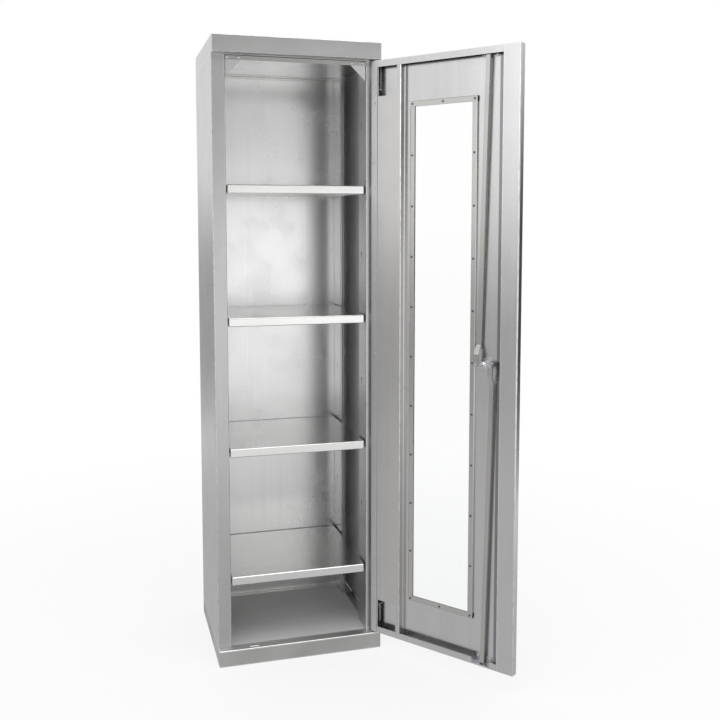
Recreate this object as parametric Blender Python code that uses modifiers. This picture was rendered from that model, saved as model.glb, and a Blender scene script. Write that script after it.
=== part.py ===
"""Tall stainless steel cabinet with one glazed door.

The door swings on two pivot pins and is held shut by two flat rods that a turn handle
drives through a cam. Four shelves lie on clips that hang in keyhole slots.
Lengths are in metres and +Z is up. The origin is the centre of the footprint on the
floor, the front faces -Y, and the door stands open. Door pieces are described where
they lie while the door is closed, and the pivot empty then swings them all open.
"""
import math

import bmesh
import bpy
from mathutils import Matrix, Vector

# Overall sizes
CABINET_WIDTH = 0.500
CABINET_DEPTH = 0.420
CABINET_HEIGHT = 1.850
CAP_HEIGHT = 0.051
PLINTH_HEIGHT = 0.050
LEDGE_DEPTH = 0.026

# Sheet metal and clearances
SHEET = 0.0012
BEND_RADIUS = 0.0026
BEND_STEPS = 3
SEAT_GAP = 0.0003
CUT_OVERRUN = 0.004
WELD_DISTANCE = 0.00001

# Cap, roof and plinth
CAP_FLANGE = 0.018
ROOF_SHEET = 0.0013
FOOT_FLANGE = 0.020
BRACE_WIDTH = 0.060
BRACE_WING = 0.022

# Side panels, each folded into a stile and a slotted front post
REAR_RETURN = 0.015
STILE_WIDTH = 0.040
POST_DEPTH = 0.080
POST_LIP = 0.014

# Back panel and rear posts
BACK_EDGE_FOLD = 0.010
REAR_POST_DEPTH = 0.091
REAR_POST_LIP = 0.012
REAR_POST_FLANGE = 0.013

# Rails, angles and gussets inside the carcass
LINTEL_DROP = 0.014
LINTEL_LEG = 0.024
REAR_RAIL_LEG = 0.036
REAR_RAIL_DROP = 0.009
FLOOR_ANGLE_LEG = 0.022
FLOOR_ANGLE_RISE = 0.0125
FOOT_ANGLE_LEG = 0.026
FOOT_ANGLE_RISE = 0.014
FOOT_ANGLE_END_GAP = 0.004
GUSSET_WIDTH = 0.047
GUSSET_DROP = 0.046
GUSSET_FLANGE = 0.014

# Shelves
SHELF_COUNT = 4
LOWEST_SHELF = 0.260
SHELF_PITCH = 0.390
SHELF_LIP = 0.025
SHELF_RETURN = 0.012
SHELF_SIDE_GAP = 0.004
SHELF_SETBACK = 0.006
SHELF_REAR_GAP = 0.002

# Keyhole slots at two levels per shelf, and the clips that hang in them
SLOTS_PER_SHELF = 2
KEYHOLE_RADIUS = 0.004
KEYHOLE_LENGTH = 0.014
KEYHOLE_DROP = 0.008
KEYHOLE_STEPS = 8
FRONT_KEYHOLE_INSET = 0.050
REAR_KEYHOLE_INSET = 0.042
CLIP_SHEET = 0.0018
CLIP_BEND_RADIUS = 0.0024
CLIP_WIDTH = 0.016
CLIP_TOP_DROP = 0.005
CLIP_TAB = 0.015
PEG_RADIUS = 0.002
PEG_HEAD_RADIUS = 0.0032
PEG_HEAD_HEIGHT = 0.0012
PEG_STEPS = 12

# Door pan
OPEN_ANGLE = 127.0
DOOR_THICKNESS = 0.022
DOOR_SIDE_GAP = 0.0035
DOOR_END_GAP = 0.003
PIVOT_INSET = 0.010
DOOR_END_FLANGE = 0.020
HINGE_FLANGE = 0.022
LATCH_FLANGE = 0.053
LATCH_LIP = 0.006
SEAM_WIDTH = 0.0006

# Stiffening channel on the door's hinge side, with a pocket at each end
STIFFENER_WIDTH = 0.1065
STIFFENER_FOOT = 0.0095
STIFFENER_LIP = 0.008
STIFFENER_END_GAP = 0.002
POCKET_INSET = 0.0255
POCKET_WIDTH = 0.0665
POCKET_LENGTH = 0.105

# Window
WINDOW_HINGE_INSET = 0.1455
WINDOW_LATCH_INSET = 0.156
WINDOW_END_INSET = 0.14175
PANE_THICKNESS = 0.003
PANE_LAP = 0.0115
SEAL_THICKNESS = 0.0012
SEAL_WIDTH = 0.010
STRIP_WIDTH = 0.016

# Pivot hinges
PIN_RADIUS = 0.004
PIN_REACH = 0.012
PIN_CHAMFER = 0.001
PIN_COLLAR_RADIUS = 0.005
PIN_COLLAR_HEIGHT = 0.003
PIN_TAIL = 0.004
BUSH_RADIUS = 0.0066
BUSH_DEPTH = 0.010
BUSH_COLLAR_RADIUS = 0.0095
BRACKET_SHEET = 0.0025
BRACKET_BEND_RADIUS = 0.0035
BRACKET_LENGTH = 0.085
BRACKET_WIDTH = 0.018
BRACKET_LEG = 0.0165

# Lock: cam, bearing, rose, handle and key barrel
LOCK_INSET = 0.1035
CAM_ARM = 0.0225
CAM_WIDTH = 0.018
CAM_THICKNESS = 0.004
CAM_LEVEL = 0.0185
CAM_PIN_RADIUS = 0.003
CAM_PIN_HEAD_RADIUS = 0.0055
CAM_PIN_HEAD_HEIGHT = 0.0022
SPINDLE_WIDTH = 0.008
SPINDLE_PROUD = 0.0005
BEARING_RADIUS = 0.011
BEARING_FLANGE_RADIUS = 0.019
BEARING_FLANGE_HEIGHT = 0.003
ROSE_RADIUS = 0.026
ROSE_HEIGHT = 0.009
ROSE_CHAMFER = 0.003
NECK_RADIUS = 0.014
GRIP_LENGTH = 0.086
GRIP_WIDTH = 0.030
GRIP_THICKNESS = 0.020
GRIP_EDGE = 0.004
GRIP_LIFT = 0.001
GRIP_STEPS = 36
BARREL_RADIUS = 0.0085
BARREL_LENGTH = 0.016
BARREL_PROUD = 0.001
KEYWAY_WIDTH = 0.002
KEYWAY_LENGTH = 0.009
KEYWAY_DEPTH = 0.010

# Lock rods, their guides and the slots that they shoot into
ROD_WIDTH = 0.013
ROD_THICKNESS = 0.004
ROD_LEVEL = 0.011
ROD_BEND_RADIUS = 0.006
ROD_EYE_WIDTH = 0.016
ROD_EYE_END = 0.0075
ROD_EYE_LENGTH = 0.029
ROD_JOGGLE_LENGTH = 0.025
ROD_TIP_INSET = 0.0008
ROD_SIDE_PLAY = 0.0055
ROD_FACE_PLAY = 0.001
GUIDE_SHEET = 0.0015
GUIDE_WIDTH = 0.052
GUIDE_FOOT = 0.025
GUIDE_LEG = 0.0165
GUIDE_NOTCH_GAP = 0.003
STRIKE_CLEARANCE = 0.001

# Roundness of turned pieces
ROUND_STEPS = 32
SMALL_ROUND_STEPS = 16
SHARP_ANGLE = 35.0

# Places worked out from the sizes above
HALF_WIDTH = CABINET_WIDTH / 2
FRONT = -CABINET_DEPTH / 2
REAR = CABINET_DEPTH / 2
STILE_FRONT = FRONT + LEDGE_DEPTH
CAP_BASE = CABINET_HEIGHT - CAP_HEIGHT
ROOF_BASE = CAP_BASE - SEAT_GAP - ROOF_SHEET
CARCASS_FOOT = PLINTH_HEIGHT + SEAT_GAP
CARCASS_TOP = ROOF_BASE - SEAT_GAP
CARCASS_HEIGHT = CARCASS_TOP - CARCASS_FOOT
POST_FACE = HALF_WIDTH - STILE_WIDTH
RAIL_END = POST_FACE - SEAT_GAP
SIDE_INNER = HALF_WIDTH - SHEET - SEAT_GAP
BACK_FACE = REAR - SHEET - SEAT_GAP
BACK_INNER = BACK_FACE - SHEET - SEAT_GAP
REAR_POST_FRONT = BACK_INNER - REAR_POST_DEPTH
SHELF_HALF_WIDTH = POST_FACE - SHELF_SIDE_GAP
SHELF_FRONT = STILE_FRONT + SHELF_SETBACK
SHELF_REAR = BACK_INNER - SHEET - SHELF_REAR_GAP
KEYHOLE_ROWS = (STILE_FRONT + FRONT_KEYHOLE_INSET, BACK_INNER - REAR_KEYHOLE_INSET)
DOOR_RIGHT = HALF_WIDTH - DOOR_SIDE_GAP
DOOR_LEFT = -DOOR_RIGHT
DOOR_FOOT = PLINTH_HEIGHT + DOOR_END_GAP
DOOR_TOP = CAP_BASE - DOOR_END_GAP
DOOR_MIDDLE = (DOOR_FOOT + DOOR_TOP) / 2
DOOR_INNER = FRONT + DOOR_THICKNESS
SKIN_INNER = FRONT + SHEET + SEAT_GAP
END_WALL_INNER = SHEET + SEAT_GAP
PIVOT_X = DOOR_RIGHT - PIVOT_INSET
PIVOT_Y = FRONT + PIVOT_INSET
WINDOW_WIDTH = DOOR_RIGHT - DOOR_LEFT - WINDOW_HINGE_INSET - WINDOW_LATCH_INSET
WINDOW_HEIGHT = DOOR_TOP - DOOR_FOOT - 2 * WINDOW_END_INSET
WINDOW_X = DOOR_RIGHT - WINDOW_HINGE_INSET - WINDOW_WIDTH / 2
PANE_FRONT = SKIN_INNER + SEAL_THICKNESS + SEAT_GAP
STRIP_FACE = PANE_FRONT + PANE_THICKNESS + SEAT_GAP + SHEET
LOCK_X = DOOR_LEFT + LOCK_INSET
LOCK_Z = DOOR_MIDDLE
CAM_BACK = CAM_LEVEL + CAM_THICKNESS
ROD_EYE_LEVEL = CAM_BACK + SEAT_GAP
SPINDLE_BORE = SPINDLE_WIDTH / math.sqrt(2) + SEAT_GAP
GRIP_BASE = SEAT_GAP + ROSE_HEIGHT + GRIP_LIFT
GRIP_FACE = GRIP_BASE + GRIP_THICKNESS
GUIDE_SLOT_HALF = ROD_WIDTH / 2 + ROD_SIDE_PLAY
ROD_MIDDLE_Y = FRONT + ROD_LEVEL + ROD_THICKNESS / 2

STEEL = ((0.62, 0.62, 0.61), 0.32, 1)
POLISHED = ((0.74, 0.74, 0.74), 0.15, 1)
ZINC = ((0.58, 0.58, 0.60), 0.30, 1)
BRASS = ((0.72, 0.56, 0.27), 0.30, 1)
GLASS = ((0.86, 0.92, 0.90), 0.05, 0)
RUBBER = ((0.05, 0.05, 0.055), 0.70, 0)
NYLON = ((0.20, 0.20, 0.21), 0.50, 0)

for leftover in list(bpy.data.objects):
    bpy.data.objects.remove(leftover, do_unlink=True)

parts = bpy.data.collections.new("stainless_cabinet")
cutters = bpy.data.collections.new("cabinet_cutters")
for collection in (parts, cutters):
    bpy.context.scene.collection.children.link(collection)


def make_material(name, finish):
    """A Principled material from a colour, a roughness and a metallic value."""
    color, roughness, metallic = finish
    material = bpy.data.materials.new(name)
    material.use_nodes = True
    shader = material.node_tree.nodes["Principled BSDF"]
    shader.inputs["Base Color"].default_value = (*color, 1)
    shader.inputs["Roughness"].default_value = roughness
    shader.inputs["Metallic"].default_value = metallic
    return material


def hang(item, axis):
    """Parents an item so that it keeps the place it has while the door is closed."""
    item.parent = axis
    item.matrix_parent_inverse = Matrix.Translation(-axis.location)


def add_axis(name, location, axis=None):
    """An empty on the axis of a joint."""
    empty = bpy.data.objects.new(name, None)
    parts.objects.link(empty)
    empty.location = location
    if axis is not None:
        hang(empty, axis)
    return empty


def add_part(name, mesh, finish, location=(0, 0, 0), rotation=(0, 0, 0), axis=None):
    """A named piece with its own material."""
    part = bpy.data.objects.new(name, mesh)
    parts.objects.link(part)
    part.location = location
    part.rotation_euler = rotation
    mesh.materials.append(make_material(name, finish))
    if axis is not None:
        hang(part, axis)
    return part


def add_tool(name, mesh, location=(0, 0, 0), rotation=(0, 0, 0), axis=None):
    """A shape that is cut out of parts or joined to them."""
    tool = bpy.data.objects.new(name, mesh)
    cutters.objects.link(tool)
    tool.location = location
    tool.rotation_euler = rotation
    tool.hide_render = True
    tool.display_type = "WIRE"
    if axis is not None:
        hang(tool, axis)
    return tool


def combine(part, tool, operation="DIFFERENCE"):
    boolean = part.modifiers.new(tool.name, "BOOLEAN")
    boolean.operation = operation
    boolean.solver = "EXACT"
    boolean.object = tool


def thicken(part, thickness=SHEET):
    """Gives an open surface its thickness on the inner side."""
    solidify = part.modifiers.new("sheet", "SOLIDIFY")
    solidify.thickness = thickness
    solidify.offset = -1
    solidify.use_even_offset = True


def round_edges(part, radius, steps=BEND_STEPS):
    bevel = part.modifiers.new("rounded", "BEVEL")
    bevel.width = radius
    bevel.segments = steps
    bevel.limit_method = "ANGLE"
    bevel.angle_limit = math.radians(SHARP_ANGLE)


def turn(part, steps=ROUND_STEPS):
    """Turns a profile round its local Z axis."""
    screw = part.modifiers.new("turned", "SCREW")
    screw.axis = "Z"
    screw.steps = steps
    screw.render_steps = steps
    screw.use_merge_vertices = True
    screw.merge_threshold = WELD_DISTANCE


def finish_mesh(name, bm):
    mesh = bpy.data.meshes.new(name)
    bm.to_mesh(mesh)
    bm.free()
    mesh.shade_smooth()
    mesh.set_sharp_from_angle(angle=math.radians(SHARP_ANGLE))
    return mesh


def mirrored(mesh):
    """Turns a right-hand mesh into its left-hand one."""
    mesh.transform(Matrix.Scale(-1, 4, (1, 0, 0)))
    mesh.flip_normals()
    return mesh


def box_between(name, low, high):
    """A box mesh about its own centre, and the place of that centre."""
    low = Vector(low)
    high = Vector(high)
    bm = bmesh.new()
    bmesh.ops.create_cube(bm, size=1)
    bmesh.ops.scale(bm, verts=bm.verts, vec=high - low)
    return finish_mesh(name, bm), (low + high) / 2


def cylinder_mesh(name, radius, length, steps=ROUND_STEPS):
    bm = bmesh.new()
    bmesh.ops.create_cone(
        bm, cap_ends=True, segments=steps, radius1=radius, radius2=radius, depth=length)
    return finish_mesh(name, bm)


def profile_mesh(name, profile, closed=False):
    """A chain of edges in the XZ plane, from (radius, height) pairs, for turning."""
    bm = bmesh.new()
    chain = [bm.verts.new((radius, 0, height)) for radius, height in profile]
    following = chain[1:] + chain[:1] if closed else chain[1:]
    for pair in zip(chain, following):
        bm.edges.new(pair)
    return finish_mesh(name, bm)


def outline_mesh(name, outline, thickness):
    """A flat plate from an outline in XY, lying evenly on both sides of z = 0."""
    curve = bpy.data.curves.new(name, "CURVE")
    curve.dimensions = "2D"
    curve.fill_mode = "BOTH"
    curve.extrude = thickness / 2
    spline = curve.splines.new("POLY")
    spline.points.add(len(outline) - 1)
    for point, (x, y) in zip(spline.points, outline):
        point.co = (x, y, 0, 1)
    spline.use_cyclic_u = True
    drawn = bpy.data.objects.new(name, curve)
    cutters.objects.link(drawn)
    mesh = bake(drawn)
    bpy.data.curves.remove(curve)
    return mesh


def bake(item):
    """The evaluated mesh of an object, welded and facing out. The object is removed."""
    depsgraph = bpy.context.evaluated_depsgraph_get()
    mesh = bpy.data.meshes.new_from_object(item.evaluated_get(depsgraph))
    bm = bmesh.new()
    bm.from_mesh(mesh)
    bmesh.ops.remove_doubles(bm, verts=bm.verts, dist=WELD_DISTANCE)
    bmesh.ops.recalc_face_normals(bm, faces=bm.faces)
    bpy.data.objects.remove(item, do_unlink=True)
    bpy.data.meshes.remove(mesh)
    return finish_mesh("baked", bm)


def rounded_path(corners, radius):
    """An open path whose inner corners have become arcs."""
    points = [corners[0]]
    for before, corner, after in zip(corners, corners[1:], corners[2:]):
        back = (before - corner).normalized()
        onward = (after - corner).normalized()
        half_angle = back.angle(onward) / 2
        tangent = radius / math.tan(half_angle)
        centre = corner + (back + onward).normalized() * (radius / math.sin(half_angle))
        arc_start = corner + back * tangent - centre
        arc_end = corner + onward * tangent - centre
        for step in range(BEND_STEPS + 1):
            spoke = arc_start.slerp(arc_end, step / BEND_STEPS)
            points.append(centre + spoke.normalized() * radius)
    points.append(corners[-1])
    return points


def folded_mesh(name, corners, run, radius=BEND_RADIUS):
    """A strip of sheet: a path with rounded folds, swept along a straight run.

    Seen from the far end of the run, its faces look to the right of the path, and
    the thickness that they are given lies to the left.
    """
    run = Vector(run)
    bm = bmesh.new()
    path = rounded_path([Vector(corner) for corner in corners], radius)
    chain = [bm.verts.new(point) for point in path]
    edges = [bm.edges.new(pair) for pair in zip(chain, chain[1:])]
    swept = bmesh.ops.extrude_edge_only(bm, edges=edges)["geom"]
    moved = [item for item in swept if isinstance(item, bmesh.types.BMVert)]
    bmesh.ops.translate(bm, verts=moved, vec=run)
    bm.normal_update()
    right = (chain[1].co - chain[0].co).cross(run)
    if edges[0].link_faces[0].normal.dot(right) < 0:
        bmesh.ops.reverse_faces(bm, faces=bm.faces)
    return finish_mesh(name, bm)


def pan_mesh(name, size, lips):
    """The outer skin of a folded pan, open at z = 0 and closed at the top.

    The mouth has a lip on each side: lips holds their widths at low x, high x, low y
    and high y.
    """
    bm = bmesh.new()
    bmesh.ops.create_cube(bm, size=1)
    bmesh.ops.translate(bm, verts=bm.verts, vec=(0, 0, 1 / 2))
    bmesh.ops.scale(bm, verts=bm.verts, vec=size)
    half_x = size[0] / 2
    half_y = size[1] / 2
    mouth = min(bm.faces, key=lambda face: face.calc_center_median().z)
    bmesh.ops.inset_individual(bm, faces=[mouth], thickness=min(lips))
    for vertex in mouth.verts:
        vertex.co.x = half_x - lips[1] if vertex.co.x > 0 else lips[0] - half_x
        vertex.co.y = half_y - lips[3] if vertex.co.y > 0 else lips[2] - half_y
    bmesh.ops.delete(bm, geom=[mouth], context="FACES_ONLY")
    return finish_mesh(name, bm)


def add_pan(name, size, lips, location, rotation=(0, 0, 0), axis=None):
    pan = add_part(name, pan_mesh(name, size, lips), STEEL, location, rotation, axis)
    round_edges(pan, BEND_RADIUS)
    thicken(pan)
    return pan


def add_folded(name, corners, run, axis=None):
    strip = add_part(name, folded_mesh(name, corners, run), STEEL, axis=axis)
    thicken(strip)
    return strip


# Plinth, with a hat channel under its middle that also stands on the floor

def make_plinth():
    size = (CABINET_WIDTH, CABINET_DEPTH, PLINTH_HEIGHT)
    plinth = add_pan("plinth_tray", size, (FOOT_FLANGE,) * 4, (0, 0, 0))
    half = BRACE_WIDTH / 2
    wing = half + BRACE_WING
    wing_z = PLINTH_HEIGHT - SHEET - SEAT_GAP - SHEET
    end_y = REAR - FOOT_FLANGE - SEAT_GAP
    corners = [
        (-wing, end_y, wing_z), (-half, end_y, wing_z), (-half, end_y, 0),
        (half, end_y, 0), (half, end_y, wing_z), (wing, end_y, wing_z)]
    add_folded("base_crossmember", corners, (0, -2 * end_y, 0))
    return plinth


# Cap, and the roof sheet that closes the carcass below it

def make_cap():
    size = (CABINET_WIDTH, CABINET_DEPTH, CAP_HEIGHT)
    lips = (CAP_FLANGE, CAP_FLANGE, LEDGE_DEPTH + CAP_FLANGE, CAP_FLANGE)
    cap = add_pan("top_cap", size, lips, (0, 0, CAP_BASE))
    edge_x = HALF_WIDTH - SEAT_GAP
    edge_y = REAR - SEAT_GAP
    mesh, centre = box_between(
        "roof_panel", (-edge_x, STILE_FRONT, ROOF_BASE), (edge_x, edge_y, ROOF_BASE + ROOF_SHEET))
    add_part("roof_panel", mesh, STEEL, centre)
    return cap


# Keyhole slots: one long cutter for each row goes through both sides' posts

def keyhole_outline():
    """A round hole with a slot hanging from it, as (along, up) pairs round its centre."""
    half_slot = PEG_RADIUS + SEAT_GAP
    first = math.asin(half_slot / KEYHOLE_RADIUS) - math.pi / 2
    sweep = math.pi - 2 * first
    points = []
    for step in range(KEYHOLE_STEPS + 1):
        angle = first + sweep * step / KEYHOLE_STEPS
        points.append((KEYHOLE_RADIUS * math.cos(angle), KEYHOLE_RADIUS * math.sin(angle)))
    points.append((-half_slot, -KEYHOLE_LENGTH))
    points.append((half_slot, -KEYHOLE_LENGTH))
    return points


def make_keyhole_cutter(row, y):
    length = 2 * (POST_FACE + SHEET + CUT_OVERRUN)
    mesh = outline_mesh("keyhole", keyhole_outline(), length)
    mesh.transform(Matrix.Rotation(math.pi / 2, 4, "Z") @ Matrix.Rotation(math.pi / 2, 4, "X"))
    location = (0, y, LOWEST_SHELF - KEYHOLE_DROP)
    cutter = add_tool("keyhole_row_" + row, mesh, location)
    levels = cutter.modifiers.new("levels", "ARRAY")
    levels.count = SHELF_COUNT * SLOTS_PER_SHELF
    levels.use_relative_offset = False
    levels.use_constant_offset = True
    levels.constant_offset_displace = (0, 0, SHELF_PITCH / SLOTS_PER_SHELF)
    return cutter


# Side panels and rear posts

def make_side(side_name, keyholes):
    left = side_name == "left"
    post_rear = STILE_FRONT + POST_DEPTH
    corners = [
        (POST_FACE + POST_LIP, post_rear, CARCASS_FOOT), (POST_FACE, post_rear, CARCASS_FOOT),
        (POST_FACE, STILE_FRONT, CARCASS_FOOT), (HALF_WIDTH, STILE_FRONT, CARCASS_FOOT),
        (HALF_WIDTH, REAR, CARCASS_FOOT), (HALF_WIDTH - REAR_RETURN, REAR, CARCASS_FOOT)]
    panel = add_folded("side_panel_" + side_name, corners, (0, 0, CARCASS_HEIGHT))
    corners = [
        (POST_FACE + REAR_POST_FLANGE, BACK_INNER, CARCASS_FOOT),
        (POST_FACE, BACK_INNER, CARCASS_FOOT), (POST_FACE, REAR_POST_FRONT, CARCASS_FOOT),
        (POST_FACE + REAR_POST_LIP, REAR_POST_FRONT, CARCASS_FOOT)]
    post = add_folded("rear_post_" + side_name, corners, (0, 0, CARCASS_HEIGHT))
    first_y = post_rear + FOOT_ANGLE_END_GAP
    corners = [
        (SIDE_INNER, first_y, CARCASS_FOOT + FOOT_ANGLE_RISE), (SIDE_INNER, first_y, CARCASS_FOOT),
        (SIDE_INNER - FOOT_ANGLE_LEG, first_y, CARCASS_FOOT)]
    run = REAR_POST_FRONT - FOOT_ANGLE_END_GAP - first_y
    angle = add_folded("side_foot_angle_" + side_name, corners, (0, run, 0))
    gusset = make_gusset("gusset_" + side_name)
    if left:
        for piece in (panel, post, angle, gusset):
            mirrored(piece.data)
    combine(panel, keyholes[0])
    combine(post, keyholes[1])


def make_gusset(name):
    """A corner web behind the lintel's face, with a flange along the post."""
    web_y = STILE_FRONT + SHEET + SEAT_GAP
    edge_x = RAIL_END - GUSSET_WIDTH
    lintel_foot = CARCASS_TOP - LINTEL_DROP
    foot = lintel_foot - GUSSET_DROP
    height = CARCASS_TOP - SHEET - BEND_RADIUS - foot
    corners = [(edge_x, web_y, foot), (RAIL_END, web_y, foot), (RAIL_END, web_y + GUSSET_FLANGE, foot)]
    gusset = add_folded(name, corners, (0, 0, height))
    bm = bmesh.new()
    bm.from_mesh(gusset.data)
    bmesh.ops.bisect_plane(
        bm, geom=bm.verts[:] + bm.edges[:] + bm.faces[:], plane_co=(edge_x, 0, lintel_foot),
        plane_no=(-GUSSET_DROP, 0, -GUSSET_WIDTH), clear_outer=True)
    bm.to_mesh(gusset.data)
    bm.free()
    return gusset


# Back panel and the rails across the carcass

def make_back_and_rails():
    fold_y = BACK_FACE - BACK_EDGE_FOLD
    corners = [
        (SIDE_INNER, fold_y, CARCASS_FOOT), (SIDE_INNER, BACK_FACE, CARCASS_FOOT),
        (-SIDE_INNER, BACK_FACE, CARCASS_FOOT), (-SIDE_INNER, fold_y, CARCASS_FOOT)]
    add_folded("back_panel", corners, (0, 0, CARCASS_HEIGHT))
    corners = [
        (-RAIL_END, STILE_FRONT + LINTEL_LEG, CARCASS_TOP), (-RAIL_END, STILE_FRONT, CARCASS_TOP),
        (-RAIL_END, STILE_FRONT, CARCASS_TOP - LINTEL_DROP)]
    add_folded("lintel_rail", corners, (2 * RAIL_END, 0, 0))
    corners = [
        (RAIL_END, BACK_INNER - REAR_RAIL_LEG, CARCASS_TOP), (RAIL_END, BACK_INNER, CARCASS_TOP),
        (RAIL_END, BACK_INNER, CARCASS_TOP - REAR_RAIL_DROP)]
    add_folded("rear_top_rail", corners, (-2 * RAIL_END, 0, 0))
    corners = [
        (RAIL_END, BACK_INNER, CARCASS_FOOT + FLOOR_ANGLE_RISE), (RAIL_END, BACK_INNER, CARCASS_FOOT),
        (RAIL_END, BACK_INNER - FLOOR_ANGLE_LEG, CARCASS_FOOT)]
    add_folded("rear_floor_angle", corners, (-2 * RAIL_END, 0, 0))


# Shelves and their clips

def clip_mesh():
    """A clip round the point where the shelf's top meets the right post's face."""
    half = CLIP_WIDTH / 2
    tab_base = -SHELF_LIP - SEAT_GAP - CLIP_SHEET
    corners = [
        (-SEAT_GAP, -half, -CLIP_TOP_DROP), (-SEAT_GAP, -half, tab_base),
        (-CLIP_TAB, -half, tab_base)]
    clip = add_part("clip", folded_mesh("clip", corners, (0, CLIP_WIDTH, 0), CLIP_BEND_RADIUS), ZINC)
    thicken(clip, CLIP_SHEET)
    head_base = SHEET + SEAT_GAP
    head_top = head_base + PEG_HEAD_HEIGHT
    root = -SEAT_GAP - CLIP_SHEET / 2
    profile = [
        (0, head_top), (PEG_HEAD_RADIUS, head_top), (PEG_HEAD_RADIUS, head_base),
        (PEG_RADIUS, head_base), (PEG_RADIUS, root), (0, root)]
    peg_z = PEG_RADIUS + SEAT_GAP - KEYHOLE_DROP - KEYHOLE_LENGTH
    peg = add_tool("peg", profile_mesh("peg", profile), (0, 0, peg_z), (0, math.pi / 2, 0))
    turn(peg, PEG_STEPS)
    combine(clip, peg, "UNION")
    mesh = bake(clip)
    mesh.materials.clear()
    bpy.data.objects.remove(peg, do_unlink=True)
    return mesh


def make_shelves():
    middle_y = (SHELF_FRONT + SHELF_REAR) / 2
    size = (2 * SHELF_HALF_WIDTH, SHELF_REAR - SHELF_FRONT, SHELF_LIP)
    pattern = clip_mesh()
    for index in range(SHELF_COUNT):
        level = LOWEST_SHELF + index * SHELF_PITCH
        shelf_name = "shelf_" + str(index + 1)
        add_pan(shelf_name, size, (SHELF_RETURN,) * 4, (0, middle_y, level - SHELF_LIP))
        for row, y in zip(("front", "rear"), KEYHOLE_ROWS):
            for side_name, x, turned in (("left", -POST_FACE, math.pi), ("right", POST_FACE, 0)):
                clip_name = shelf_name + "_clip_" + row + "_" + side_name
                add_part(clip_name, pattern.copy(), ZINC, (x, y, level), (0, 0, turned))


# Pivot hinges: a bush in the plinth and one in the cap, and in the door a pin on a bracket

def make_hinge(end_name, carcass_z, door_z, upward, door_axis):
    """upward is 1 where the door lies above the bush and -1 where it lies below."""
    turned_over = (0, 0, 0) if upward > 0 else (math.pi, 0, 0)
    bore = PIN_RADIUS + SEAT_GAP
    collar_top = DOOR_END_GAP - SEAT_GAP
    profile = [
        (bore, collar_top), (BUSH_COLLAR_RADIUS, collar_top), (BUSH_COLLAR_RADIUS, SEAT_GAP),
        (BUSH_RADIUS, SEAT_GAP), (BUSH_RADIUS, -BUSH_DEPTH), (bore, -BUSH_DEPTH)]
    mesh = profile_mesh("bush", profile, closed=True)
    bush = add_part("hinge_bush_" + end_name, mesh, NYLON, (PIVOT_X, PIVOT_Y, carcass_z), turned_over)
    turn(bush)

    collar_base = END_WALL_INNER + BRACKET_SHEET + SEAT_GAP
    collar_top = collar_base + PIN_COLLAR_HEIGHT
    tail = collar_top + PIN_TAIL
    profile = [
        (0, tail), (PIN_RADIUS, tail), (PIN_RADIUS, collar_top), (PIN_COLLAR_RADIUS, collar_top),
        (PIN_COLLAR_RADIUS, collar_base), (PIN_RADIUS, collar_base),
        (PIN_RADIUS, PIN_CHAMFER - PIN_REACH), (PIN_RADIUS - PIN_CHAMFER, -PIN_REACH), (0, -PIN_REACH)]
    pin = add_part(
        "hinge_pin_" + end_name, profile_mesh("pin", profile), ZINC,
        (PIVOT_X, PIVOT_Y, door_z), turned_over, door_axis)
    turn(pin)

    near_z = door_z + upward * END_WALL_INNER
    far_z = near_z + upward * BRACKET_LENGTH
    low_z, high_z = sorted((near_z, far_z))
    side_x = DOOR_RIGHT - 2 * END_WALL_INNER
    leg_y = SKIN_INNER + BRACKET_LEG
    corners = [
        (side_x, leg_y, low_z), (side_x, SKIN_INNER, low_z), (side_x, SKIN_INNER, high_z),
        (side_x, leg_y, high_z)]
    mesh = folded_mesh("bracket", corners, (-BRACKET_WIDTH, 0, 0), BRACKET_BEND_RADIUS)
    bracket = add_part("hinge_bracket_" + end_name, mesh, ZINC, axis=door_axis)
    thicken(bracket, BRACKET_SHEET)

    length = 2 * (collar_base + CUT_OVERRUN)
    mesh = cylinder_mesh("pin_hole", bore, length)
    hole = add_tool("pin_hole_" + end_name, mesh, (PIVOT_X, PIVOT_Y, door_z), axis=door_axis)
    combine(bracket, hole)
    mesh = cylinder_mesh("bush_hole", BUSH_RADIUS + SEAT_GAP, length)
    socket = add_tool("bush_hole_" + end_name, mesh, (PIVOT_X, PIVOT_Y, carcass_z))
    return hole, socket


# Door pan

def add_door_box(name, low, high, door_axis):
    mesh, centre = box_between(name, low, high)
    return add_tool(name, mesh, centre, axis=door_axis)


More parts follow.
